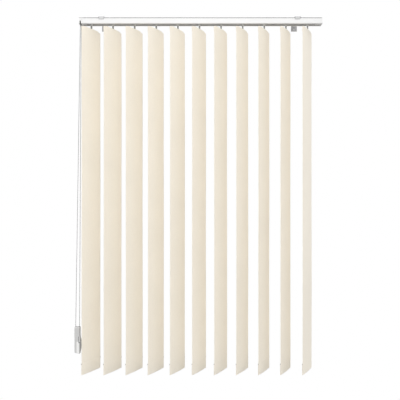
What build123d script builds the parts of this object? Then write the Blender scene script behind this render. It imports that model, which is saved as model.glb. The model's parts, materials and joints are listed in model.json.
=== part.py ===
from build123d import *
import math
import os

# A vertical blind with eleven fabric vanes, hung on two wall brackets.
# X runs along the rail, Y points at the wall and Z points up.
# The origin is on the wall face, midway between the four fixing holes of the brackets.
# Every piece is drawn where it is with the vanes spread and half turned.

os.makedirs("parts", exist_ok=True)

# Rounds are drawn in few flat sides, as most of them repeat with every vane
small_round_sides = 8
pulley_sides = 10
hole_sides = 6
corner_steps = 3
turn_steps = 8

# Fits
running_gap = 0.3
snug_gap = 0.15

# Row of vanes
vane_count = 11
vane_pitch = 110.9
vane_turn_at_rest = 56.2

# Headrail: an extrusion with a slot along its underside
rail_depth = 38.0
rail_height = 33.0
rail_wall = 1.3
rail_slot_width = 14.0
rail_lower_radius = 4.0
rail_upper_radius = 1.0
rail_before_first_vane = 39.7
rail_after_last_vane = 63.3
rail_to_wall = 56.0
rail_above_fixing = 14.0
rail_off_centre = 6.0
groove_below_top = 3.6
groove_height = 3.6
groove_depth = 1.5
thick_wall = 3.0
thick_wall_height = 9.0

# End caps
control_cap_width = 20.0
return_cap_width = 8.0
control_plug_length = 15.0
return_plug_length = 24.0
cap_wall = 1.2

# Tilt rod, a hexagonal bar in front of the vane stems
rod_across_corners = 5.8
rod_ahead_of_stems = 8.0
rod_above_ledge = 16.7
rod_end_depth = 2.0

# Chain sprocket and the bead chain that hangs from it
bead_diameter = 3.2
bead_pitch = 4.4
sprocket_pockets = 11
sprocket_from_end = 7.0
sprocket_width = 6.0
sprocket_rim = 0.9
chain_notch_height = 15.0
chain_notch_width = 7.0

# Chain weight with its turning wheel
weight_top_drop = 1545.0
weight_from_end = 9.5
weight_height = 138.0
weight_width = 28.6
weight_thickness = 16.0
weight_belly = 7.2
weight_belly_height = 48.0
weight_belly_reach = 50.0
weight_edge_chamfer = 2.0
weight_corner_radius = 3.0
weight_foot_radius = 5.0
wheel_below_weight_top = 24.0
wheel_pitch_radius = 10.0
wheel_rim = 0.5
wheel_pin_radius = 2.0
weight_window_width = 6.0
weight_window_height = 34.0
weight_window_drop = 49.0
weight_window_aside = 9.5

# Draw cord and the pulley that returns it
cord_diameter = 1.8
cord_above_carrier = 2.3
cord_pulley_radius = 9.0
cord_pulley_thickness = 3.4
cord_pulley_rim = 0.6
cord_pulley_pin_radius = 2.0
cord_pulley_from_cap = 12.0

# Carriers that run inside the rail
carrier_width = 14.0
carrier_stem_side = 6.0
carrier_strip_side = 14.2
carrier_base_half_depth = 10.4
carrier_base_height = 8.8
carrier_top_height = 24.0
carrier_neck_radius = 5.5
carrier_neck_below_rail = 4.2
wheel_radius = 5.0
wheel_width = 4.2
worm_barrel_wall = 2.0

# Spacer strips that keep the carriers one pitch apart
strip_thickness = 0.3
strip_height = 6.0
strip_above_base = 6.2
strip_slant = 2.0
strip_root_depth = 12.5
strip_past_next = 1.5
strip_foot_length = 1.5

# Stems with a small gear above and a fork below
stem_radius = 2.5
gear_teeth = 8
gear_tip_radius = 4.4
gear_root_radius = 3.3
gear_height = 6.0
gear_pocket_radius = 4.8
fork_width = 7.0
fork_block_drop = 5.2
fork_block_height = 3.0
fork_prong_thickness = 1.7
peg_radius = 1.4

# Fabric vanes
vane_width = 127.0
vane_length = 1759.0
vane_bow = 3.0
vane_below_rail = 19.0
cloth_thickness = 0.5
pocket_gap = 1.2
top_pocket_height = 30.0
hem_pocket_height = 61.0
weld_height = 1.5
shoulder_drop = 6.0
shoulder_length = 22.0

# Plates inside each vane
plate_thickness = 0.8
hanger_width = 115.0
hanger_neck_width = 7.0
hanger_hole_radius = 1.7
hem_plate_width = 122.0
hem_plate_height = 57.0
hem_lug_length = 5.0
hem_lug_height = 5.0

# Wall brackets with their clips
bracket_spacing = 1000.0
bracket_width = 31.0
bracket_thickness = 2.0
bracket_leg_below_fixing = 20.0
bracket_past_rail = 2.0
bracket_bend_radius = 3.0
fixing_spacing = 20.0
fixing_hole_radius = 2.25
clip_thickness = 1.2
clip_width = 25.0
clip_lip_drop = 9.5
rivet_radius = 2.0
rivet_head_radius = 4.0
rivet_head_height = 1.2

# Places along X
rail_length = rail_before_first_vane + (vane_count - 1) * vane_pitch + rail_after_last_vane
whole_length = control_cap_width + rail_length + return_cap_width
left_end = rail_off_centre - whole_length / 2
right_end = rail_off_centre + whole_length / 2
rail_left = left_end + control_cap_width
rail_right = right_end - return_cap_width
first_vane_x = rail_left + rail_before_first_vane
sprocket_x = left_end + sprocket_from_end
weight_x = left_end - weight_from_end
bracket_x = bracket_spacing / 2
cord_pulley_x = rail_right - cord_pulley_from_cap

# Places along Y
rail_back = -rail_to_wall
rail_front = rail_back - rail_depth
stem_y = (rail_back + rail_front) / 2
rod_y = stem_y - rod_ahead_of_stems

# Heights
rail_bottom = -rail_above_fixing
rail_top = rail_bottom + rail_height
ledge_z = rail_bottom + rail_wall
rod_z = ledge_z + rod_above_ledge
carrier_base = ledge_z + 1.7
carrier_shoulder = carrier_base + carrier_base_height
carrier_top = carrier_base + carrier_top_height
cord_z = carrier_top + cord_above_carrier
vane_top = rail_bottom - vane_below_rail
vane_bottom = vane_top - vane_length
weight_top = rail_bottom - weight_top_drop
wheel_z = weight_top - wheel_below_weight_top

# Sizes that follow from others
chain_pitch_radius = bead_pitch / (2 * math.sin(math.pi / sprocket_pockets))
rod_radius = rod_across_corners / 2
rod_bore_radius = rod_radius + running_gap
rod_bearing_radius = rod_radius + snug_gap
shoulder_start = vane_width / 2 - shoulder_length


def block(x, y, z):
    """A rectangular solid between two limits on each axis."""
    limits = (x, y, z)
    size = [high - low for low, high in limits]
    middle = [(high + low) / 2 for low, high in limits]
    return Pos(*middle) * Box(*size)


def about(middle, half):
    """The two limits that lie the same distance on both sides of a place."""
    return (middle - half, middle + half)


def clear(radius, sides=small_round_sides):
    """The corner radius of a many-sided hole whose flats lie at a radius."""
    return radius / math.cos(math.pi / sides)


def arc_points(centre, radius, start, turn, steps):
    """Points along a round, from one angle onwards."""
    points = []
    for step in range(steps + 1):
        angle = math.radians(start + turn * step / steps)
        points.append((centre[0] + radius * math.cos(angle), centre[1] + radius * math.sin(angle)))
    return points


def outline_through(points):
    """A flat face with straight sides between points."""
    return make_face(Polyline(*points, close=True))


def post(radius, z, sides=small_round_sides):
    """An upright many-sided bar on the Z axis between two heights."""
    return Pos(0, 0, z[0]) * extrude(RegularPolygon(radius, sides), z[1] - z[0])


def bar_along_x(radius, x, sides=small_round_sides):
    """A many-sided bar on the X axis between two places."""
    return Rot(0, 90, 0) * post(radius, x, sides)


def bar_along_y(radius, y, sides=small_round_sides):
    """A many-sided bar on the Y axis between two places."""
    return Rot(-90, 0, 0) * post(radius, y, sides)


def save(shape, name):
    """Write one piece of the blind under its own name."""
    export_step(shape, f"parts/{name}.step")


# Headrail

def rail_outline():
    """The outer outline of the rail, seen from its end, with the two grooves for the clips."""
    low, high = rail_lower_radius, rail_upper_radius
    points = arc_points((rail_front + low, rail_bottom + low), low, 180, 90, corner_steps)
    points += arc_points((rail_back - low, rail_bottom + low), low, 270, 90, corner_steps)
    points += arc_points((rail_back - high, rail_top - high), high, 0, 90, 1)
    points += arc_points((rail_front + high, rail_top - high), high, 90, 90, 1)
    outline = outline_through(points)
    for edge in (rail_front, rail_back):
        outline -= Pos(edge, rail_top - groove_below_top) * Rectangle(2 * groove_depth, groove_height)
    return outline


def rail_hollow():
    """The hollow of the rail, narrower at the top, where the clip grooves are."""
    inner_top = rail_top - rail_wall
    step_z = rail_top - thick_wall_height
    radius = rail_lower_radius - rail_wall
    front, back = rail_front + rail_wall, rail_back - rail_wall
    points = arc_points((front + radius, ledge_z + radius), radius, 180, 90, corner_steps - 1)
    points += arc_points((back - radius, ledge_z + radius), radius, 270, 90, corner_steps - 1)
    lower = outline_through(points + [(back, step_z), (front, step_z)])
    upper = Pos(stem_y, (ledge_z + inner_top) / 2) * Rectangle(
        rail_depth - 2 * thick_wall, inner_top - ledge_z
    )
    slot = Pos(stem_y, rail_bottom) * Rectangle(rail_slot_width, 4 * rail_wall)
    return lower + upper + slot


def headrail():
    """The extruded rail, open along its underside."""
    return Pos(rail_left, 0, 0) * extrude(Plane.YZ * (rail_outline() - rail_hollow()), rail_length)


# End caps

def plug(x):
    """The part of an end cap that fills the rail."""
    half_depth = rail_depth / 2 - thick_wall - 2 * running_gap
    inner_top = rail_top - rail_wall - running_gap
    return block(x, about(stem_y, half_depth), (ledge_z + running_gap, inner_top))


def rod_bearing(x):
    """A bore that the tilt rod turns in."""
    return Pos(0, rod_y, rod_z) * bar_along_x(clear(rod_bearing_radius), x)


def control_end_cap():
    """The cap that houses the chain sprocket, with a notch where the chain comes out."""
    cover = Pos(left_end, 0, 0) * extrude(Plane.YZ * rail_outline(), control_cap_width)
    cover += plug((rail_left, rail_left + control_plug_length))
    room = about(sprocket_x, chain_notch_width / 2)
    room_radius = rod_y - rail_front - cap_wall
    chamber = Pos(0, rod_y, rod_z) * bar_along_x(clear(room_radius, pulley_sides), room, pulley_sides)
    chute = block(room, about(rod_y, room_radius), (rail_bottom - 1, rod_z))
    notch = block(room, (rail_front - 1, rod_y), (rail_bottom - 1, rail_bottom + chain_notch_height))
    bearing = rod_bearing((room[0] - rod_end_depth, rail_left + control_plug_length + 1))
    return cover - chamber - chute - notch - bearing


def return_end_cap():
    """The far cap, with a bearing for the rod and a pin for the cord pulley."""
    cover = Pos(rail_right, 0, 0) * extrude(Plane.YZ * rail_outline(), return_cap_width)
    inner_end = rail_right - return_plug_length
    cover += plug((inner_end, rail_right))
    floor_z = cord_z - cord_pulley_thickness / 2 - running_gap
    recess = block(
        (inner_end - 1, rail_right),
        (rail_front, rail_back),
        (floor_z, rail_top - rail_wall),
    )
    pin = Pos(cord_pulley_x, stem_y, 0) * post(
        cord_pulley_pin_radius, (floor_z, rail_top - rail_wall - running_gap)
    )
    bearing = rod_bearing((inner_end - 1, rail_right - rod_end_depth))
    return cover - recess - bearing + pin


# Tilt rod and sprocket

def tilt_rod():
    """The hexagonal rod that turns every vane stem."""
    start = sprocket_x - chain_notch_width / 2 - rod_end_depth + running_gap
    stop = rail_right - rod_end_depth - running_gap
    return Pos(0, rod_y, rod_z) * bar_along_x(rod_radius, (start, stop), 6)


def sprocket_flange():
    """One rim of the sprocket, with a hollow over each bead."""
    points = []
    for pocket in range(sprocket_pockets):
        for share, radius in ((0.0, chain_pitch_radius - 0.9), (0.5, chain_pitch_radius + 0.9)):
            angle = 2 * math.pi * (pocket + share) / sprocket_pockets
            points.append((radius * math.cos(angle), radius * math.sin(angle)))
    return outline_through(points)


def chain_sprocket():
    """A spool that the bead chain lies on, bored for the rod."""
    half = sprocket_width / 2
    core_radius = chain_pitch_radius - bead_diameter / 2 - running_gap
    spool = post(core_radius, (-half, half), sprocket_pockets)
    for low in (-half, half - sprocket_rim):
        spool += Pos(0, 0, low) * extrude(sprocket_flange(), sprocket_rim)
    spool -= post(rod_radius + snug_gap, (-half - 1, half + 1), 6)
    return Pos(sprocket_x, rod_y, rod_z) * Rot(0, 90, 0) * spool


# Draw cord

def many_sided_tube(points, diameter):
    """A cord of hexagonal section along a path with short straight steps."""
    path = Polyline(*points)
    section = Plane(path @ 0, z_dir=path % 0) * RegularPolygon(diameter / 2, 6)
    return sweep(section, path, transition=Transition.RIGHT)


def draw_cord():
    """The cord inside the rail, out along one side, round the pulley and back."""
    start_x = rail_left + control_plug_length
    turn = arc_points((cord_pulley_x, stem_y), cord_pulley_radius, -90, 180, turn_steps)
    route = [(start_x, turn[0][1]), *turn, (start_x, turn[-1][1])]
    return many_sided_tube([(x, y, cord_z) for x, y in route], cord_diameter)


def spool_wheel(groove_radius, groove_width, rim, thickness, bore_radius):
    """A small grooved wheel about the Z axis."""
    rim_radius = groove_radius + groove_width / 2 + rim
    half = thickness / 2
    wheel = post(groove_radius - groove_width / 2 - running_gap, (-half, half), pulley_sides)
    for low in (-half, half - rim):
        wheel += post(rim_radius, (low, low + rim), pulley_sides)
    return wheel - post(clear(bore_radius, hole_sides), (-half - 1, half + 1), hole_sides)


def return_pulley():
    """The pulley that turns the draw cord back."""
    wheel = spool_wheel(
        cord_pulley_radius,
        cord_diameter,
        cord_pulley_rim,
        cord_pulley_thickness,
        cord_pulley_pin_radius + running_gap,
    )
    return Pos(cord_pulley_x, stem_y, cord_z) * wheel


# Control chain and its weight

def chain_half(side):
    """Half of the chain loop, from the foot of the weight wheel to the top of the sprocket."""
    foot = arc_points((0, wheel_z), wheel_pitch_radius, -90, 90, turn_steps // 2)
    head = arc_points((0, rod_z), chain_pitch_radius, 0, 90, turn_steps // 2)
    points = [(weight_x + side * out, rod_y, z) for out, z in foot]
    points += [(sprocket_x, rod_y + side * out, z) for out, z in head]
    return many_sided_tube(points, bead_diameter)


def weight_outline():
    """The outline of the weight from the front, straight on one side and bellied on the other."""
    half = weight_width / 2
    foot = weight_foot_radius
    points = arc_points((foot - half, 2 * foot), foot, 180, 75, 2)
    points += arc_points((half - foot, foot), foot, 270, 75, 2)
    for share in (-0.8, -0.4, 0.0, 0.4, 0.8, 1.0):
        swell = weight_belly * math.cos(share * math.pi / 2) ** 2
        points.append((half + swell, weight_belly_height + share * weight_belly_reach))
    corner = weight_corner_radius
    points += arc_points((half - corner, weight_height - corner), corner, 0, 90, 2)
    points += arc_points((corner - half, weight_height - corner), corner, 90, 90, 2)
    return outline_through(points)


def chain_weight():
    """The moulded weight, open at the top for the chain, with a slot through one side."""
    body = extrude(Plane.XZ * weight_outline(), weight_thickness / 2, both=True)
    rims = body.edges().filter_by(lambda edge: abs(abs(edge.center().Y) - weight_thickness / 2) < 0.01)
    body = chamfer(rims, weight_edge_chamfer)
    wheel_up = weight_height - wheel_below_weight_top
    room_half = wheel_pitch_radius + bead_diameter / 2 + 2 * running_gap
    room_depth = bead_diameter / 2 + wheel_rim + 2 * running_gap
    room = block(about(0, room_half), about(0, room_depth), (wheel_up - room_half, weight_height + 1))
    window_top = weight_height - weight_window_drop
    window = block(
        about(weight_window_aside, weight_window_width / 2),
        about(0, weight_thickness),
        (window_top - weight_window_height, window_top),
    )
    pin = Pos(0, 0, wheel_up) * bar_along_y(wheel_pin_radius, about(0, room_depth + 1))
    body = body - room - window + pin
    return Pos(weight_x, rod_y, weight_top - weight_height) * body


def weight_wheel():
    """The wheel in the weight that the chain runs round."""
    wheel = spool_wheel(
        wheel_pitch_radius,
        bead_diameter,
        wheel_rim,
        bead_diameter + 2 * wheel_rim + running_gap,
        wheel_pin_radius + running_gap,
    )
    return Pos(weight_x, rod_y, wheel_z) * Rot(90, 0, 0) * wheel


# Carriers

def spacer_strip():
    """The slanted strip that reaches through the next carrier, with its foot."""
    half = carrier_width / 2
    reach = vane_pitch + strip_past_next + strip_foot_length / 2
    low = carrier_shoulder + strip_above_base
    root = Pos(half - strip_foot_length / 2, stem_y + strip_root_depth, 0)
    strip = root * Rot(0, 0, -strip_slant) * block(
        (0, reach + half), about(0, strip_thickness / 2), (low, low + strip_height)
    )
    foot = block(
        (half - strip_foot_length, half),
        (stem_y + strip_root_depth - strip_thickness, stem_y + carrier_strip_side - 0.5),
        (low, low + strip_height),
    )
    return strip + foot


def cord_clamp():
    """The forked lug on the lead carrier that the draw cord passes through."""
    cord_y = stem_y - cord_pulley_radius
    groove = cord_diameter / 2 + running_gap
    lug = block(
        about(0, carrier_width / 2 - 1),
        (cord_y - groove - 1.2, stem_y - 4),
        (carrier_top - 2, cord_z + groove),
    )
    way = block(about(0, carrier_width), about(cord_y, groove), (cord_z - groove, cord_z + 2 * groove))
    return lug - way


def carrier(number):
    """A carrier with its two wheels, worm barrel, stem well and strip window."""
    half = about(0, carrier_width / 2)
    body = block(
        half,
        (stem_y - carrier_stem_side, stem_y + carrier_strip_side),
        (carrier_shoulder, carrier_top),
    )
    body += block(half, about(stem_y, carrier_base_half_depth), (carrier_base, carrier_shoulder))
    barrel_radius = rod_bore_radius + worm_barrel_wall
    body += Pos(0, rod_y, rod_z) * bar_along_x(barrel_radius, half)
    wheel_span = about(0, carrier_base_half_depth + wheel_width)
    wheels = bar_along_y(wheel_radius, wheel_span)
    around = about(0, 2 * wheel_radius)
    wheels -= block(around, about(0, carrier_base_half_depth - 1), around)
    body += Pos(0, stem_y, ledge_z + wheel_radius + running_gap) * wheels
    neck_low = rail_bottom - carrier_neck_below_rail
    body += Pos(0, stem_y, 0) * post(carrier_neck_radius, (neck_low, carrier_base + 1))
    body -= Pos(0, rod_y, rod_z) * bar_along_x(clear(rod_bore_radius), about(0, carrier_width))
    well_floor = rod_z - gear_height / 2 - running_gap
    body -= Pos(0, stem_y, 0) * post(clear(gear_pocket_radius), (well_floor, carrier_top + 1))
    stem_bore = clear(stem_radius + running_gap)
    body -= Pos(0, stem_y, 0) * post(stem_bore, (neck_low - 1, well_floor + 1))
    slant_drop = (vane_pitch + carrier_width) * math.sin(math.radians(strip_slant))
    strip_low = carrier_shoulder + strip_above_base
    window_back = stem_y + strip_root_depth + strip_thickness + snug_gap
    body -= block(
        about(0, carrier_width),
        (window_back - slant_drop - 1, window_back),
        (strip_low - 2 * running_gap, strip_low + strip_height + 2 * running_gap),
    )
    if number < vane_count:
        body += spacer_strip()
    else:
        body += cord_clamp()
    return body


# Stems

def gear_outline():
    """The small gear on a stem, seen from above."""
    points = []
    for tooth in range(gear_teeth):
        for share, radius in ((0.0, gear_tip_radius), (0.5, gear_root_radius)):
            angle = 2 * math.pi * (tooth + share) / gear_teeth
            points.append((radius * math.cos(angle), radius * math.sin(angle)))
    return outline_through(points)


def stem():
    """The stem that turns a vane, from its gear down to the fork with its peg."""
    gear_low = rod_z - gear_height / 2
    block_top = rail_bottom - fork_block_drop
    block_low = block_top - fork_block_height
    fork_low = vane_top + 2 * running_gap
    inner = plate_thickness / 2 + running_gap
    outer = inner + fork_prong_thickness
    shape = Pos(0, 0, gear_low) * extrude(gear_outline(), gear_height)
    shape += post(stem_radius, (block_top - 1, gear_low + 1))
    shape += block(about(0, fork_width / 2), about(0, outer), (block_low, block_top))
    for low, high in ((-outer, -inner), (inner, outer)):
        shape += block(about(0, fork_width / 2), (low, high), (fork_low, block_low + 1))
    peg_z = (block_low + fork_low) / 2
    shape += Pos(0, 0, peg_z) * bar_along_y(peg_radius, about(0, inner + 1), hole_sides)
    return shape


# Vanes

def bow_stations():
    """Places across a vane and how far back its bow lies at each of them."""
    reach = vane_width / 2 + hem_lug_length
    places = (-reach, -shoulder_start, 0, shoulder_start, reach)
    return [(x, vane_bow * (2 * x / vane_width) ** 2) for x in places]


def pressed_on_curve(outline, layer):
    """A front outline given the bow of the vane, in facets, and a thickness between two depths."""
    low, high = layer
    stations = bow_stations()
    front = [(x, depth + low) for x, depth in stations]
    back = [(x, depth + high) for x, depth in reversed(stations)]
    band = Pos(0, 0, vane_bottom - 1) * extrude(outline_through(front + back), 2 - vane_bottom)
    panel = extrude(Plane.XZ * outline, 2 * vane_bow + 2 * pocket_gap, both=True)
    return panel & band


def shouldered_outline(half_width, low, high):
    """A front outline with a level top and the sloping shoulders that every layer shares."""
    flat = shoulder_start
    drop = shoulder_drop * (half_width - flat) / shoulder_length
    return outline_through([
        (-half_width, low),
        (half_width, low),
        (half_width, high - drop),
        (flat, high),
        (-flat, high),
        (-half_width, high - drop),
    ])


def level_outline(half_width, low, high):
    """A rectangular front outline."""
    return Pos(0, (low + high) / 2) * Rectangle(2 * half_width, high - low)


def vane():
    """A fabric vane with its top pocket and hem pocket."""
    half = vane_width / 2
    inner = pocket_gap / 2
    outer = inner + cloth_thickness
    cloth = pressed_on_curve(shouldered_outline(half, vane_bottom, vane_top), (-outer, -inner))
    pocket_low = vane_top - top_pocket_height
    top_pocket = shouldered_outline(half, pocket_low, vane_top)
    top_room = shouldered_outline(half, pocket_low + weld_height, vane_top - cloth_thickness)
    slit_half = hanger_neck_width / 2 + running_gap
    neck_slit = level_outline(slit_half, vane_top - 2 * cloth_thickness, vane_top + 1)
    cloth += pressed_on_curve(top_pocket - top_room - neck_slit, (-inner, inner))
    cloth += pressed_on_curve(top_pocket, (inner, outer))
    hem_top = vane_bottom + hem_pocket_height
    hem = level_outline(half, vane_bottom, hem_top)
    hem_room = level_outline(half + 1, vane_bottom + cloth_thickness, hem_top - weld_height)
    cloth += pressed_on_curve(hem - hem_room, (-inner, inner))
    cloth += pressed_on_curve(hem, (inner, outer))
    return cloth


def vane_plates():
    """The hanger plate in the top pocket and the weighted plate in the hem."""
    layer = (-plate_thickness / 2, plate_thickness / 2)
    hanger_low = vane_top - top_pocket_height + weld_height + running_gap
    hanger_high = vane_top - cloth_thickness - running_gap
    half = hanger_width / 2
    hanger = shouldered_outline(half, hanger_low, hanger_high)
    neck_top = rail_bottom - fork_block_drop - fork_block_height - running_gap
    hanger += level_outline(hanger_neck_width / 2, hanger_high - 1, neck_top)
    peg_z = (rail_bottom - fork_block_drop - fork_block_height + vane_top + 2 * running_gap) / 2
    hanger -= Pos(0, peg_z) * RegularPolygon(clear(hanger_hole_radius, hole_sides), hole_sides)
    hem_low = vane_bottom + cloth_thickness + running_gap
    hem_high = hem_low + hem_plate_height
    hem = level_outline(hem_plate_width / 2, hem_low, hem_high)
    hem += level_outline(hem_plate_width / 2 + hem_lug_length, hem_high - hem_lug_height, hem_high)
    return Compound(children=[pressed_on_curve(hanger, layer), pressed_on_curve(hem, layer)])


# Wall brackets

def bracket(x):
    """A bent bracket: the leg on the wall with two holes, the arm over the rail."""
    width = about(x, bracket_width / 2)
    arm_low = rail_top + clip_thickness
    arm = block(width, (rail_front - bracket_past_rail, 0), (arm_low, arm_low + bracket_thickness))
    leg = block(width, (-bracket_thickness, 0), (-bracket_leg_below_fixing, arm_low + bracket_thickness))
    shape = arm + leg
    bend = shape.edges().filter_by(Axis.X).sort_by(lambda edge: edge.center().Y + edge.center().Z)[-1]
    shape = fillet(bend, bracket_bend_radius)
    for z in about(0, fixing_spacing / 2):
        shape -= Pos(x, 0, z) * Rot(90, 0, 0) * Cylinder(fixing_hole_radius, 4 * bracket_thickness)
    rivet_hole = post(rivet_radius + snug_gap, (-1, bracket_thickness + 1), hole_sides)
    return shape - Pos(x, stem_y, arm_low) * rivet_hole


def bracket_clip(x):
    """The spring clip under an arm, whose lips hook into the grooves of the rail."""
    width = about(x, clip_width / 2)
    lip_out = clip_thickness + snug_gap
    clip = block(
        width, (rail_front - lip_out, rail_back + lip_out), (rail_top, rail_top + clip_thickness)
    )
    hook_z = about(rail_top - groove_below_top, groove_height / 2 - snug_gap)
    for edge, outward in ((rail_front, -1), (rail_back, 1)):
        lip = sorted((edge + outward * snug_gap, edge + outward * lip_out))
        hook = sorted((edge - outward * (groove_depth - snug_gap), edge + outward * lip_out))
        clip += block(width, lip, (rail_top - clip_lip_drop, rail_top + clip_thickness))
        clip += block(width, hook, hook_z)
    rivet_hole = post(rivet_radius + snug_gap, (-1, clip_thickness + 1), hole_sides)
    return clip - Pos(x, stem_y, rail_top) * rivet_hole


def clip_rivet(x):
    """The rivet that joins a clip to its arm, with its head on the arm."""
    head_low = rail_top + clip_thickness + bracket_thickness
    rivet = post(rivet_head_radius, (head_low, head_low + rivet_head_height))
    rivet += post(rivet_radius, (rail_top + snug_gap, head_low + rivet_head_height), hole_sides)
    return Pos(x, stem_y, 0) * rivet


# The whole blind

save(headrail(), "headrail")
save(control_end_cap(), "control_end_cap")
save(return_end_cap(), "return_end_cap")
save(tilt_rod(), "tilt_rod")
save(chain_sprocket(), "chain_sprocket")
save(draw_cord(), "draw_cord")
save(return_pulley(), "return_pulley")
save(Compound(children=[chain_half(-1), chain_half(1)]), "control_chain")
save(chain_weight(), "chain_weight")
save(weight_wheel(), "weight_wheel")
save(bracket(-bracket_x), "bracket_left")
save(bracket(bracket_x), "bracket_right")
save(bracket_clip(-bracket_x), "bracket_clip_left")
save(bracket_clip(bracket_x), "bracket_clip_right")
save(Compound(children=[clip_rivet(-bracket_x), clip_rivet(bracket_x)]), "clip_rivets")

one_stem = stem()
one_vane = vane()
one_pair_of_plates = vane_plates()
plain_carrier = carrier(1)
lead_carrier = carrier(vane_count)
for number in range(1, vane_count + 1):
    x = first_vane_x + (number - 1) * vane_pitch
    hang = Pos(x, stem_y, 0) * Rot(0, 0, vane_turn_at_rest)
    runner = lead_carrier if number == vane_count else plain_carrier
    save(Pos(x, 0, 0) * runner, f"carrier_{number:02d}")
    save(hang * one_stem, f"stem_{number:02d}")
    save(hang * one_vane, f"vane_{number:02d}")
    save(hang * one_pair_of_plates, f"vane_plates_{number:02d}")
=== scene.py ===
import json
import math

import bpy
from mathutils import Matrix, Vector


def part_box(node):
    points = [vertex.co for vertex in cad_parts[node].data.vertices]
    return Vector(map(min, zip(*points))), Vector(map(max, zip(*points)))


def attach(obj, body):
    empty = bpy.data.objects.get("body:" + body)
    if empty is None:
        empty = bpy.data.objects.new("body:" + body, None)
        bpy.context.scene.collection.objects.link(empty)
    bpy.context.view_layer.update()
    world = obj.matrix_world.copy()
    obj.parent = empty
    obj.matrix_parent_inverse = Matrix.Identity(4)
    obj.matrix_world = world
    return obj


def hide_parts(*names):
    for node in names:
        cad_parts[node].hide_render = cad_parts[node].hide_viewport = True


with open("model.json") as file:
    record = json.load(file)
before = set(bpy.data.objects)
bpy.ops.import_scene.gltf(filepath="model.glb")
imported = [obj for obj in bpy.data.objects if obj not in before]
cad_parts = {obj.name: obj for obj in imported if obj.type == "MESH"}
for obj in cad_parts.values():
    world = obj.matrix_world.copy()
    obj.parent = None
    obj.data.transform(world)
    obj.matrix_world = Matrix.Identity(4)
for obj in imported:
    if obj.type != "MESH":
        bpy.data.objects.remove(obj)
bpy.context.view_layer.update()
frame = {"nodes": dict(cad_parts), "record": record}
record = frame["record"]
joints = {joint["name"]: joint for joint in record["behaviour"]["joints"]}

# Lengths are in metres and angles in degrees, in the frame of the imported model

# Camera of the photograph, which looks straight at the wall from near the rail's middle
CAMERA_DISTANCE = 2.32
CAMERA_ASIDE = -0.0033
EYE_BELOW_FIXING = 0.912
FOCAL_PIXELS = 452
PICTURE_PIXELS = 400
SENSOR_WIDTH = 36.0

# Stage and lamps
FLOOR_BELOW_VANES = 0.35
FLOOR_HALF_WIDTH = 30.0
FLOOR_TONE = 0.2
WORLD_STRENGTH = 1.28
LAMP_WIDTH = 2.4

# Vanes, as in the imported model
VANE_COUNT = 11
VANE_TURN = 56.2
VANE_WIDTH = 0.127
VANE_BOW = 0.003
CLOTH_THICKNESS = 0.0005
POCKET_GAP = 0.0012
TOP_POCKET = 0.030
HEM_POCKET = 0.061
HEM_LUG = 0.005
WELD_HEIGHT = 0.0015
SHOULDER_DROP = 0.006
SHOULDER_LENGTH = 0.022
NECK_SLIT = 0.0076

# Depths of the cloth's layers behind the middle of a vane's pockets
FRONT = -(POCKET_GAP + CLOTH_THICKNESS) / 2
BACK = -FRONT
SEAM = FRONT + CLOTH_THICKNESS + 0.00005
GROOVE = FRONT + 0.00018
BACK_PINCHED = BACK * 0.6

# The fold at either end of a vane, as shares of the front depth and heights from the end
FOLD_START = 0.0028
FOLD = [(0.97, 0.0012), (0.65, 0.00045), (0.12, 0.00026), (-0.35, 0.00034), (-0.82, 0.001)]

# The weld line across the front, as a distance into the pocket and the depth there
WELD_LINE = [(0.0022, FRONT), (0.0012, GROOVE), (0.0004, GROOVE), (-0.0006, FRONT)]

# Heights of the rows of the pockets' layers, from the end of the vane
TOP_BACK_ROWS = (0.016, 0.010, 0.005, FOLD_START)
TOP_FRONT_ROWS = (FOLD_START, 0.006, 0.012, 0.02, 0.026)
HEM_FRONT_ROWS = (0.05, 0.04, 0.03, 0.02, 0.01, 0.005, FOLD_START)
HEM_BACK_ROWS = (FOLD_START, 0.01, 0.02, 0.03, 0.04, 0.05)
PINCH_START = 0.008
PINCH_MIDDLE = 0.004

# Rows between the pockets and columns across a vane
ROW_PITCH = 0.012
WELD_CLEAR = 0.006
COLUMN_COUNT = 36
SLIT_CLEAR = 0.0008

# How the shoulders' slope, the plates' facets and the ripple fade along a vane
SHOULDER_FADE = 0.5
FACET_SHARE = 0.5
FACET_FADE = 0.15
RIPPLE_DEPTH = 0.0007
RIPPLE_FADE = 0.6
RIPPLE_SEED = 1.7

# Waves down the cloth: half turns over its length, share of the seed and share of the ripple
RIPPLE_WAVES = [(2.2, 1.0, 0.6), (5.1, 2.3, 0.3)]

# The slanting wave across the cloth, in radians per metre of width and over its length
EDGE_WAVE_ACROSS = 60
EDGE_WAVE_DOWN = 9
EDGE_WAVE_SHARE = 0.25

# Bead chain
BEAD_DIAMETER = 0.0032
BEAD_PITCH = 0.0044
LINK_DIAMETER = 0.0011
SPROCKET_POCKETS = 11
CHAIN_RADIUS = BEAD_PITCH / (2 * math.sin(math.pi / SPROCKET_POCKETS))
WHEEL_RADIUS = 0.010
STEPS_OVER_SPROCKET = 6
NURBS_STEPS = 32

# Chain weight: its painted highlight and painted shade along the belly, by distances from its sides and
# by tone, and its rounding
HIGHLIGHT_FROM_LEFT = 0.011
HIGHLIGHT_FROM_RIGHT = 0.0115
HIGHLIGHT_HEIGHT = 0.062
BELLY_SHADE_FROM_RIGHT = 0.0095
TONE_EDGE = 0.003
HIGHLIGHT_TOP_EDGE = 0.006
SHELL_TONE = 0.6
PAINTED_HIGHLIGHT_LIFT = 0.27
PAINTED_BELLY_SHADE_DIM = 0.3
WEIGHT_ROUND = 0.0042
SHARP_ANGLE = 40

# How far a nook's painted shade reaches and the share of the colour left in its depth
RAIL_NOOK_SHADE = (0.006, 0.1)
CAP_NOOK_SHADE = (0.005, 0.6)
WEIGHT_NOOK_SHADE = (0.012, 0.1)
NOOK_SHADE_START = 0.45

# Depths that a bump's full height stands for
GRAIN_DEPTH = 0.0002
THREAD_DEPTH = 0.00035
FLOW_DEPTH = 0.001

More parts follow.
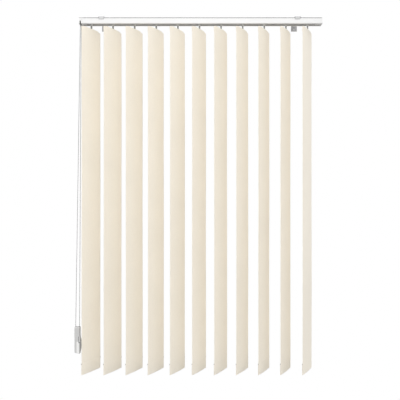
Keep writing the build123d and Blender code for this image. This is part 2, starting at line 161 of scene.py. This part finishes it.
# How much drawn lines, slubs and clouds count in a relief or a tone
DRAWN_RELIEF = 0.6
SLUB_RELIEF = 0.7
SLUB_TONE = 0.32
CLOUD_TONE = 0.3

# Sockets of a colour mix, which share their names
MIX_FACTOR = 0
MIX_FIRST = 6
MIX_SECOND = 7
MIX_COLOR = 2


# Node helpers

class Nodes:
    """A node tree with short calls to add and join nodes."""

    def __init__(self, tree):
        self.tree = tree

    def add(self, kind, **settings):
        node = self.tree.nodes.new(kind)
        for key, value in settings.items():
            setattr(node, key, value)
        return node

    def join(self, source, target):
        self.tree.links.new(source, target)

    def math(self, operation, first, second):
        node = self.add("ShaderNodeMath", operation=operation)
        for socket, value in zip(node.inputs, (first, second)):
            if isinstance(value, (int, float)):
                socket.default_value = value
            else:
                self.join(value, socket)
        return node.outputs[0]

    def white_to_camera(self, plain, white, output):
        """Shows the camera, mirrors and glass the white shader, and lights with the plain one."""
        seen = self.add("ShaderNodeLightPath")
        either = self.math("MAXIMUM", seen.outputs["Is Camera Ray"], seen.outputs["Is Glossy Ray"])
        either = self.math("MAXIMUM", either, seen.outputs["Is Transmission Ray"])
        blend = self.add("ShaderNodeMixShader")
        for socket, source in zip(blend.inputs, (either, plain.outputs[0], white.outputs[0])):
            self.join(source, socket)
        self.join(blend.outputs[0], output.inputs["Surface"])


class Finish(Nodes):
    """A material's node tree, with the textures and mixes that the finishes share."""

    def __init__(self, name):
        self.material = bpy.data.materials.new(name)
        self.material.use_nodes = True
        super().__init__(self.material.node_tree)
        self.shader = self.tree.nodes["Principled BSDF"]
        self.output = self.tree.nodes["Material Output"]

    def set(self, **values):
        for key, value in values.items():
            self.shader.inputs[key.replace("_", " ")].default_value = value

    def color(self, source):
        self.join(source, self.shader.inputs["Base Color"])

    def roughness(self, factor, low, high):
        self.join(self.range(factor, low, high), self.shader.inputs["Roughness"])

    def place(self, scale=(1, 1, 1), turn=0.0):
        """Object coordinates, turned about Z and scaled."""
        coordinates = self.add("ShaderNodeTexCoord")
        turned = self.add("ShaderNodeMapping")
        turned.inputs["Rotation"].default_value = (0, 0, math.radians(turn))
        scaled = self.add("ShaderNodeMapping")
        scaled.inputs["Scale"].default_value = scale
        self.join(coordinates.outputs["Object"], turned.inputs["Vector"])
        self.join(turned.outputs["Vector"], scaled.inputs["Vector"])
        return scaled.outputs["Vector"]

    def noise(self, vector, scale, detail=3.0, roughness=0.5):
        texture = self.add("ShaderNodeTexNoise")
        texture.inputs["Scale"].default_value = scale
        texture.inputs["Detail"].default_value = detail
        texture.inputs["Roughness"].default_value = roughness
        self.join(vector, texture.inputs["Vector"])
        return texture.outputs["Fac"]

    def wave(self, vector, direction, scale, distortion):
        texture = self.add("ShaderNodeTexWave", bands_direction=direction)
        texture.inputs["Scale"].default_value = scale
        texture.inputs["Distortion"].default_value = distortion
        texture.inputs["Detail Scale"].default_value = 2.0
        self.join(vector, texture.inputs["Vector"])
        return texture.outputs["Fac"]

    def ramp(self, factor, stops):
        node = self.add("ShaderNodeValToRGB")
        for element, (place, color) in zip(node.color_ramp.elements, stops[:2]):
            element.position = place
            element.color = (*color, 1.0)
        for place, color in stops[2:]:
            node.color_ramp.elements.new(place).color = (*color, 1.0)
        self.join(factor, node.inputs["Fac"])
        return node.outputs["Color"]

    def range(self, factor, low, high, start=0.0):
        node = self.add("ShaderNodeMapRange")
        node.inputs["From Min"].default_value = start
        node.inputs["To Min"].default_value = low
        node.inputs["To Max"].default_value = high
        self.join(factor, node.inputs["Value"])
        return node.outputs["Result"]

    def step(self, value, place, width):
        """Goes softly from 0 to 1 about a place, or from 1 to 0 where the width is negative."""
        node = self.add("ShaderNodeMapRange", interpolation_type="SMOOTHSTEP")
        node.inputs["From Min"].default_value = place - width / 2
        node.inputs["From Max"].default_value = place + width / 2
        self.join(value, node.inputs["Value"])
        return node.outputs["Result"]

    def painted_nook_shade(self, color, distance, share):
        """A colour with painted shade where the surface lies in a groove or seam, darkened by ambient
        occlusion.
        """
        # Ambient occlusion darkens the colour here: painted shade in grooves and seams.
        nook_shade = self.add("ShaderNodeAmbientOcclusion", samples=8)
        nook_shade.inputs["Distance"].default_value = distance
        factor = self.range(nook_shade.outputs["AO"], share, 1.0, start=NOOK_SHADE_START)
        mix = self.add("ShaderNodeMix", data_type="RGBA", blend_type="MULTIPLY")
        mix.inputs[MIX_FACTOR].default_value = 1.0
        self.join(color, mix.inputs[MIX_FIRST])
        self.join(factor, mix.inputs[MIX_SECOND])
        return mix.outputs[MIX_COLOR]

    def bump(self, height, strength, depth):
        node = self.add("ShaderNodeBump")
        node.inputs["Strength"].default_value = strength
        node.inputs["Distance"].default_value = depth
        self.join(height, node.inputs["Height"])
        self.join(node.outputs["Normal"], self.shader.inputs["Normal"])


def shade(color, share):
    """A colour made lighter or darker by a share."""
    return tuple(min(1.0, part * share) for part in color)


# Finishes

def moulded_plastic(name, color, roughness, nook_shade=None):
    """Moulded plastic with faint flow marks, a fine surface grain and, if asked, painted shade in its
    nooks.
    """
    finish = Finish(name)
    vector = finish.place()
    flow = finish.noise(vector, scale=18, detail=2.0)
    tone = finish.ramp(flow, [(0.3, shade(color, 0.96)), (0.7, shade(color, 1.03))])
    # Painted shade in the nooks, where asked.
    if nook_shade:
        tone = finish.painted_nook_shade(tone, *nook_shade)
    finish.color(tone)
    finish.roughness(finish.noise(vector, scale=60), low=roughness - 0.05, high=roughness + 0.06)
    finish.bump(finish.noise(vector, scale=900, detail=2.0), strength=0.05, depth=GRAIN_DEPTH)
    return finish.material


def weight_plastic():
    """Grey glossy shell of the chain weight, with a painted highlight low down in the middle and painted
    shade along its belly.
    """
    finish = Finish("weight_plastic")
    low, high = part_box("chain_weight")
    vector = finish.place()
    parts = finish.add("ShaderNodeSeparateXYZ")
    finish.join(vector, parts.inputs[0])
    across = parts.outputs["X"]
    up = parts.outputs["Z"]
    # Painted highlight: a paler patch low down in the middle of the shell, standing in for a reflection.
    from_left = finish.step(across, low[0] + HIGHLIGHT_FROM_LEFT, TONE_EDGE)
    from_right = finish.step(across, high[0] - HIGHLIGHT_FROM_RIGHT, -TONE_EDGE)
    from_below = finish.step(up, low[2] + HIGHLIGHT_HEIGHT, -HIGHLIGHT_TOP_EDGE)
    painted_highlight = finish.math("MULTIPLY", finish.math("MULTIPLY", from_left, from_right), from_below)
    # Painted shade and reflection along the belly on the right side.
    painted_belly_shade = finish.step(across, high[0] - BELLY_SHADE_FROM_RIGHT, TONE_EDGE)
    tone = finish.math("ADD", finish.math("MULTIPLY", painted_highlight, PAINTED_HIGHLIGHT_LIFT), SHELL_TONE)
    tone = finish.math("SUBTRACT", tone, finish.math("MULTIPLY", painted_belly_shade, PAINTED_BELLY_SHADE_DIM))
    # Painted shade in the weight's slot and seams as well.
    finish.color(finish.painted_nook_shade(tone, *WEIGHT_NOOK_SHADE))
    finish.roughness(finish.noise(vector, scale=60), low=0.12, high=0.2)
    finish.bump(finish.noise(vector, scale=40, detail=2.0), strength=0.06, depth=FLOW_DEPTH)
    return finish.material


def rail_paint():
    """White powder coat over an extrusion, with faint drawn lines along the rail and painted shade in its
    grooves.
    """
    finish = Finish("rail_paint")
    vector = finish.place()
    color = (0.8, 0.8, 0.798)
    clouds = finish.noise(vector, scale=6)
    tone = finish.ramp(clouds, [(0.3, shade(color, 0.985)), (0.7, shade(color, 1.01))])
    # Painted shade darkens the paint in the rail's grooves and seams.
    finish.color(finish.painted_nook_shade(tone, *RAIL_NOOK_SHADE))
    peel = finish.noise(vector, scale=1400, detail=1.0)
    lines = finish.noise(finish.place(scale=(0.02, 1, 1)), scale=500, detail=2.0)
    finish.roughness(lines, low=0.3, high=0.42)
    relief = finish.math("ADD", peel, finish.math("MULTIPLY", lines, DRAWN_RELIEF))
    finish.bump(relief, strength=0.06, depth=GRAIN_DEPTH)
    finish.set(Coat_Weight=0.15, Coat_Roughness=0.25)
    return finish.material


def coated_steel(name, color, roughness):
    """Grey coated sheet steel with rubbed patches."""
    finish = Finish(name)
    vector = finish.place()
    patches = finish.noise(vector, scale=45, detail=5.0, roughness=0.6)
    stops = [(0.35, shade(color, 0.9)), (0.62, color), (0.8, shade(color, 1.18))]
    finish.color(finish.ramp(patches, stops))
    finish.roughness(patches, low=roughness - 0.1, high=roughness + 0.12)
    finish.bump(finish.noise(vector, scale=1100, detail=2.0), strength=0.1, depth=GRAIN_DEPTH)
    finish.set(Metallic=0.55)
    return finish.material


def drawn_aluminium():
    """Bare aluminium with drawing lines along the rod."""
    finish = Finish("rod_metal")
    lines = finish.noise(finish.place(scale=(0.01, 1, 1)), scale=900)
    finish.color(finish.ramp(lines, [(0.3, (0.66, 0.67, 0.68)), (0.7, (0.8, 0.81, 0.82))]))
    finish.roughness(lines, low=0.25, high=0.45)
    finish.set(Metallic=1.0)
    return finish.material


def braided_cord():
    """White cord with slanting strands."""
    finish = Finish("draw_cord")
    strands = finish.wave(finish.place(), "DIAGONAL", scale=260, distortion=1.0)
    finish.color(finish.ramp(strands, [(0.2, (0.62, 0.61, 0.58)), (0.8, (0.84, 0.83, 0.8))]))
    finish.bump(strands, strength=0.4, depth=GRAIN_DEPTH)
    finish.set(Roughness=0.85)
    return finish.material


def vane_cloth():
    """Cream polyester weave: fine warp and weft threads with slubs, and a soft sheen."""
    finish = Finish("vane_cloth")
    vector = finish.place(turn=-VANE_TURN)
    warp = finish.wave(vector, "X", scale=330, distortion=0.6)
    weft = finish.wave(vector, "Z", scale=300, distortion=0.8)
    drawn_across = finish.place(scale=(0.12, 1, 1), turn=-VANE_TURN)
    drawn_along = finish.place(scale=(1, 1, 0.06), turn=-VANE_TURN)
    slub_across = finish.noise(drawn_across, scale=700, roughness=0.6)
    slub_along = finish.noise(drawn_along, scale=650, roughness=0.6)
    slubs = finish.math("ADD", slub_across, slub_along)
    clouds = finish.noise(vector, scale=5, detail=2.0)
    tone = finish.math("MULTIPLY", slubs, SLUB_TONE)
    tone = finish.math("ADD", tone, finish.math("MULTIPLY", clouds, CLOUD_TONE))
    color = (0.93, 0.87, 0.76)
    finish.color(finish.ramp(tone, [(0.3, shade(color, 0.95)), (0.62, shade(color, 1.035))]))
    threads = finish.math("MULTIPLY", warp, weft)
    relief = finish.math("ADD", threads, finish.math("MULTIPLY", slubs, SLUB_RELIEF))
    finish.bump(relief, strength=0.22, depth=THREAD_DEPTH)
    finish.set(Roughness=0.82, Sheen_Weight=0.12, Sheen_Roughness=0.6)
    return finish.material


def finish_frame():
    """Gives every carried-over node its material by its slot."""
    finishes = {
        "rail_paint": rail_paint(),
        # The cap plastic gets painted shade in its nooks.
        "cap_plastic": moulded_plastic("cap_plastic", (0.8, 0.8, 0.795), roughness=0.36, nook_shade=CAP_NOOK_SHADE),
        "rod_metal": drawn_aluminium(),
        "sprocket_plastic": moulded_plastic("sprocket_plastic", (0.78, 0.78, 0.76), roughness=0.4),
        "draw_cord": braided_cord(),
        "chain_plastic": moulded_plastic("chain_plastic", (0.09, 0.09, 0.09), roughness=0.3),
        "weight_plastic": weight_plastic(),
        "bracket_metal": coated_steel("bracket_metal", (0.6, 0.6, 0.61), roughness=0.5),
        "clip_steel": coated_steel("clip_steel", (0.52, 0.52, 0.52), roughness=0.45),
        "rivet_steel": coated_steel("rivet_steel", (0.55, 0.55, 0.55), roughness=0.35),
        "carrier_plastic": moulded_plastic("carrier_plastic", (0.9, 0.9, 0.89), roughness=0.4),
        "stem_plastic": moulded_plastic("stem_plastic", (0.27, 0.265, 0.255), roughness=0.3),
        "vane_cloth": vane_cloth(),
        "plate_plastic": moulded_plastic("plate_plastic", (0.34, 0.35, 0.33), roughness=0.35),
    }
    for part in record["subparts"]:
        node = frame["nodes"][part["node"]]
        node.data.materials.clear()
        node.data.materials.append(finishes[part["material_slot"]])
    return finishes


# Object helpers

def linked_object(name, data):
    """A new object in the scene that holds a mesh, curve, lamp or camera."""
    holder = bpy.data.objects.new(name, data)
    bpy.context.scene.collection.objects.link(holder)
    return holder


def smooth_shading(mesh):
    mesh.polygons.foreach_set("use_smooth", [True] * len(mesh.polygons))


def soften_edges(name, width, steps):
    """Rounds the sharp edges of a moulded node."""
    node = frame["nodes"][name]
    smooth_shading(node.data)
    bevel = node.modifiers.new("rounded", "BEVEL")
    bevel.width = width
    bevel.segments = steps
    bevel.limit_method = "ANGLE"
    bevel.angle_limit = math.radians(SHARP_ANGLE)
    bevel.harden_normals = True


def new_piece(name, vertices, faces, material):
    """A smooth-shaded mesh object in the row frame."""
    mesh = bpy.data.meshes.new(name)
    mesh.from_pydata(vertices, [], faces)
    mesh.validate()
    smooth_shading(mesh)
    mesh.materials.append(material)
    return linked_object(name, mesh)


# Fabric vanes

def cloth_profile():
    """The cloth seen edge on, from the top weld over the fold, down the front and up into the hem.

    Each row is its depth, its height from an edge, and whether that edge is the top."""
    rows = [(SEAM, -TOP_POCKET, True), (SEAM, WELD_HEIGHT - TOP_POCKET, True)]
    rows += [(BACK_PINCHED, PINCH_MIDDLE - TOP_POCKET, True), (BACK, PINCH_START - TOP_POCKET, True)]
    rows += [(BACK, -height, True) for height in TOP_BACK_ROWS]
    rows += [(BACK * share, -height, True) for share, height in FOLD]
    rows += [(FRONT, -height, True) for height in TOP_FRONT_ROWS]
    rows += [(depth, inward - TOP_POCKET, True) for inward, depth in WELD_LINE]
    first = TOP_POCKET + WELD_CLEAR
    clear = vane_length - TOP_POCKET - HEM_POCKET - 2 * WELD_CLEAR
    steps = round(clear / ROW_PITCH)
    rows += [(FRONT, -(first + clear * step / steps), True) for step in range(steps + 1)]
    rows += [(depth, HEM_POCKET - inward, False) for inward, depth in reversed(WELD_LINE)]
    rows += [(FRONT, height, False) for height in HEM_FRONT_ROWS]
    rows += [(FRONT * share, height, False) for share, height in FOLD]
    rows += [(BACK, height, False) for height in HEM_BACK_ROWS]
    rows += [(BACK, HEM_POCKET - PINCH_START, False), (BACK_PINCHED, HEM_POCKET - PINCH_MIDDLE, False)]
    rows += [(SEAM, HEM_POCKET - WELD_HEIGHT, False), (SEAM, HEM_POCKET, False)]
    return rows


def ripple(across, height, seed):
    """A slight unevenness of the hanging cloth, nothing at its stiffened ends."""
    down = (vane_top - height) / vane_length
    envelope = max(0.0, math.sin(math.pi * down)) ** RIPPLE_FADE
    wide = sum(
        math.sin(half_turns * math.pi * down + seed_share * seed) * share
        for half_turns, seed_share, share in RIPPLE_WAVES
    )
    edge = math.sin(EDGE_WAVE_ACROSS * across + EDGE_WAVE_DOWN * down + seed) * EDGE_WAVE_SHARE
    return RIPPLE_DEPTH * envelope * (wide + edge)


def bow_depth(across):
    """How far back the smooth curve of a vane lies."""
    return VANE_BOW * (2 * across / VANE_WIDTH) ** 2


def bow(across, height):
    """How far back the cloth lies, nearer to the facets of its plates in the pockets."""
    start = VANE_WIDTH / 2 - SHOULDER_LENGTH
    reach = VANE_WIDTH / 2 + HEM_LUG
    out = abs(across)
    if out < start:
        facet = bow_depth(start) * out / start
    else:
        facet = bow_depth(start) + (bow_depth(reach) - bow_depth(start)) * (out - start) / (reach - start)
    from_pocket = min(vane_top - height - TOP_POCKET, height - vane_bottom - HEM_POCKET)
    share = FACET_SHARE * max(0.0, min(1.0, 1.0 - from_pocket / FACET_FADE))
    return bow_depth(across) + share * (facet - bow_depth(across))


def shoulder_slope(across, below_top):
    """How far the sloping shoulders lower the cloth at a place across it and below its top."""
    out = max(0.0, abs(across) - (VANE_WIDTH / 2 - SHOULDER_LENGTH)) / SHOULDER_LENGTH
    fade = max(0.0, 1.0 - below_top / (SHOULDER_FADE * vane_length))
    return SHOULDER_DROP * out * fade


def vane_column_places():
    """Places across a vane, with a pair at the sides of the neck slit."""
    half = VANE_WIDTH / 2
    places = [-half + VANE_WIDTH * step / (COLUMN_COUNT - 1) for step in range(COLUMN_COUNT)]
    places = [place for place in places if abs(place) > NECK_SLIT / 2 + SLIT_CLEAR]
    return sorted(places + [-NECK_SLIT / 2, 0.0, NECK_SLIT / 2])


def vane_vertices(number, rows, places):
    """The corners of one vane's cloth, row by row, at its turn and place on the rail."""
    pivot = Vector(joints[f"vane_{number:02d}_turn"]["pos_m"])
    turn = Matrix.Rotation(math.radians(VANE_TURN), 4, "Z")
    vertices = []
    for depth, height, from_top in rows:
        for across in places:
            if from_top:
                z = vane_top + height - shoulder_slope(across, -height)
            else:
                z = vane_bottom + height
            y = depth + bow(across, z) + ripple(across, z, RIPPLE_SEED * number)
            point = turn @ Vector((across, y, 0))
            vertices.append((pivot.x + point.x, pivot.y + point.y, z))
    return vertices


def vane_faces(rows, places):
    """The quads between the rows and columns, left out in the slit for the hanger's neck."""
    in_fold = [from_top and height > -FOLD_START for depth, height, from_top in rows]
    in_neck = [abs(place) <= NECK_SLIT / 2 for place in places]
    width = len(places)
    faces = []
    for row in range(len(rows) - 1):
        for column in range(width - 1):
            if all(in_fold[row:row + 2] + in_neck[column:column + 2]):
                continue
            corner = row * width + column
            faces.append((corner, corner + 1, corner + width + 1, corner + width))
    return faces


def vane_cloth_piece(number, material):
    """One vane as a single sheet, folded and welded at both ends, with a slit for the hanger neck."""
    name = f"vane_{number:02d}"
    rows = cloth_profile()
    places = vane_column_places()
    vertices = vane_vertices(number, rows, places)
    faces = vane_faces(rows, places)
    piece = new_piece(name + "_cloth", vertices, faces, material)
    solid = piece.modifiers.new("thickness", "SOLIDIFY")
    solid.thickness = CLOTH_THICKNESS
    solid.offset = 0
    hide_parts(name)
    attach(piece, name)


# Bead chain

def spline_points(route):
    """Points along the smooth line of a route."""
    curve = bpy.data.curves.new("route", "CURVE")
    curve.dimensions = "3D"
    curve.resolution_u = NURBS_STEPS
    spline = curve.splines.new("NURBS")
    spline.points.add(len(route) - 1)
    for point, place in zip(spline.points, route):
        point.co = (*place, 1.0)
    spline.order_u = 3
    spline.use_endpoint_u = True
    holder = linked_object("route", curve)
    bpy.context.view_layer.update()
    mesh = bpy.data.meshes.new_from_object(holder)
    points = [vertex.co.copy() for vertex in mesh.vertices]
    bpy.data.objects.remove(holder)
    bpy.data.meshes.remove(mesh)
    return points


def evenly(points, pitch):
    """Places one pitch apart along a line of points."""
    places = [points[0]]
    wanted = pitch
    walked = 0.0
    for start, stop in zip(points, points[1:]):
        span = (stop - start).length
        while span > 0 and wanted <= walked + span:
            places.append(start.lerp(stop, (wanted - walked) / span))
            wanted += pitch
        walked += span
    return places


def ball(radius, rings=6, sides=10):
    """Vertices and faces of a small ball about the origin."""
    vertices = [(0, 0, radius)]
    for ring in range(1, rings):
        polar = math.pi * ring / rings
        for side in range(sides):
            turn = 2 * math.pi * side / sides
            vertices.append((
                radius * math.sin(polar) * math.cos(turn),
                radius * math.sin(polar) * math.sin(turn),
                radius * math.cos(polar),
            ))
    vertices.append((0, 0, -radius))
    last = len(vertices) - 1
    faces = [(0, 1 + side, 1 + (side + 1) % sides) for side in range(sides)]
    for ring in range(rings - 2):
        first = 1 + ring * sides
        for side in range(sides):
            after = (side + 1) % sides
            faces.append((first + side, first + sides + side, first + sides + after, first + after))
    first = last - sides
    faces += [(last, first + (side + 1) % sides, first + side) for side in range(sides)]
    return vertices, faces


def link_bar(start, stop, radius, sides=6):
    """The short thread between two beads."""
    axis = (stop - start).normalized()
    across = axis.orthogonal().normalized()
    beyond = axis.cross(across)
    vertices = []
    for middle in (start, stop):
        for side in range(sides):
            turn = 2 * math.pi * side / sides
            vertices.append(tuple(middle + radius * (math.cos(turn) * across + math.sin(turn) * beyond)))
    faces = [
        (side, (side + 1) % sides, sides + (side + 1) % sides, sides + side)
        for side in range(sides)
    ]
    faces.append(tuple(reversed(range(sides))))
    faces.append(tuple(range(sides, 2 * sides)))
    return vertices, faces


def bead_piece(name, places, material):
    """Beads at given places with the thread between them, as one mesh."""
    bead, bead_faces = ball(BEAD_DIAMETER / 2)
    parts = [([tuple(place + Vector(corner)) for corner in bead], bead_faces) for place in places]
    parts += [link_bar(start, stop, LINK_DIAMETER / 2) for start, stop in zip(places, places[1:])]
    vertices = []
    faces = []
    for part_vertices, part_faces in parts:
        base = len(vertices)
        vertices += part_vertices
        faces += [tuple(base + index for index in face) for face in part_faces]
    piece = new_piece(name, vertices, faces, material)
    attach(piece, "root")
    return piece


def middle_of(name):
    """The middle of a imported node's box."""
    return [sum(pair) / 2 for pair in zip(*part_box(name))]


def beads_over_sprocket(sprocket):
    """Places of the beads that lie on the sprocket, between its front and its back."""
    places = []
    for step in range(1, STEPS_OVER_SPROCKET):
        turn = math.pi * step / STEPS_OVER_SPROCKET
        back = CHAIN_RADIUS * math.cos(turn)
        up = CHAIN_RADIUS * math.sin(turn)
        places.append(Vector((sprocket[0], sprocket[1] + back, sprocket[2] + up)))
    return places


def control_chain(material):
    """The chain loop: down from the cap, round the wheel in the weight and back up."""
    sprocket = middle_of("chain_sprocket")
    wheel = middle_of("weight_wheel")
    x, y, z = sprocket
    near = Vector((x, y - CHAIN_RADIUS, z))
    far = Vector((x, y + CHAIN_RADIUS, z))
    foot_z = wheel[2] - WHEEL_RADIUS
    left = Vector((wheel[0] - WHEEL_RADIUS, y, foot_z))
    right = Vector((wheel[0] + WHEEL_RADIUS, y, foot_z))
    above = 2 * WHEEL_RADIUS / (z - foot_z)
    route = [near, left.lerp(near, above), left, right, right.lerp(far, above), far]
    line = spline_points(route)
    piece = bead_piece("control_chain_beads", evenly(line, BEAD_PITCH), material)
    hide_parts("control_chain")
    bead_piece("sprocket_beads", beads_over_sprocket(sprocket), material)


# Stage, lamps and camera

def white_stage():
    """A floor well below the blind, white to the camera and dim to the light it throws back."""
    size = FLOOR_HALF_WIDTH
    z = vane_bottom - FLOOR_BELOW_VANES
    corners = [(-size, -size, z), (size, -size, z), (size, size, z), (-size, size, z)]
    finish = Finish("stage_white")
    glow = finish.add("ShaderNodeEmission")
    glow.inputs["Color"].default_value = (1, 1, 1, 1)
    plain = finish.add("ShaderNodeBsdfDiffuse")
    plain.inputs["Color"].default_value = (FLOOR_TONE, FLOOR_TONE, FLOOR_TONE, 1)
    finish.white_to_camera(plain, glow, finish.output)
    floor = new_piece("floor", corners, [(0, 1, 2, 3)], finish.material)


def soft_world(strength):
    """Even light from all round, white where the camera sees it."""
    world = bpy.data.worlds.new("studio")
    bpy.context.scene.world = world
    world.use_nodes = True
    world.node_tree.nodes.clear()
    nodes = Nodes(world.node_tree)
    lighting = nodes.add("ShaderNodeBackground")
    white = nodes.add("ShaderNodeBackground")
    for background, level in ((lighting, strength), (white, 1.0)):
        background.inputs["Color"].default_value = (1, 1, 1, 1)
        background.inputs["Strength"].default_value = level
    nodes.white_to_camera(lighting, white, nodes.add("ShaderNodeOutputWorld"))


def area_lamp(name, place, target, power):
    """A large soft lamp aimed at a point."""
    lamp = bpy.data.lights.new(name, "AREA")
    lamp.shape = "SQUARE"
    lamp.size = LAMP_WIDTH
    lamp.energy = power
    holder = linked_object(name, lamp)
    holder.location = place
    holder.rotation_euler = (Vector(target) - Vector(place)).to_track_quat("-Z", "Y").to_euler()


def photograph_camera():
    """A level camera facing the wall from the middle of the room."""
    camera = bpy.data.cameras.new("camera")
    camera.sensor_fit = "HORIZONTAL"
    camera.sensor_width = SENSOR_WIDTH
    camera.lens = SENSOR_WIDTH * (FOCAL_PIXELS / PICTURE_PIXELS)
    camera.clip_start = 0.05
    camera.clip_end = 100
    holder = linked_object("camera", camera)
    rail_middle = (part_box("control_end_cap")[0][0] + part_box("return_end_cap")[1][0]) / 2
    holder.location = (rail_middle + CAMERA_ASIDE, stem_y - CAMERA_DISTANCE, -EYE_BELOW_FIXING)
    holder.rotation_euler = (math.radians(90), 0, 0)
    bpy.context.scene.camera = holder


vane_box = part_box("vane_01")
vane_top = vane_box[1][2]
vane_bottom = vane_box[0][2]
vane_length = vane_top - vane_bottom
stem_y = joints["vane_01_turn"]["pos_m"][1]

finishes = finish_frame()
for number in range(1, VANE_COUNT + 1):
    vane_cloth_piece(number, finishes["vane_cloth"])
control_chain(finishes["chain_plastic"])
soften_edges("chain_weight", width=WEIGHT_ROUND, steps=4)
white_stage()
soft_world(WORLD_STRENGTH)
area_lamp("key", place=(-0.8, -3.6, 0.6), target=(0, -0.1, -0.8), power=26)
area_lamp("front", place=(0.6, -3.8, 0.9), target=(0, -0.1, -0.6), power=24)
photograph_camera()

scene = bpy.context.scene
scene.view_settings.view_transform = "Standard"
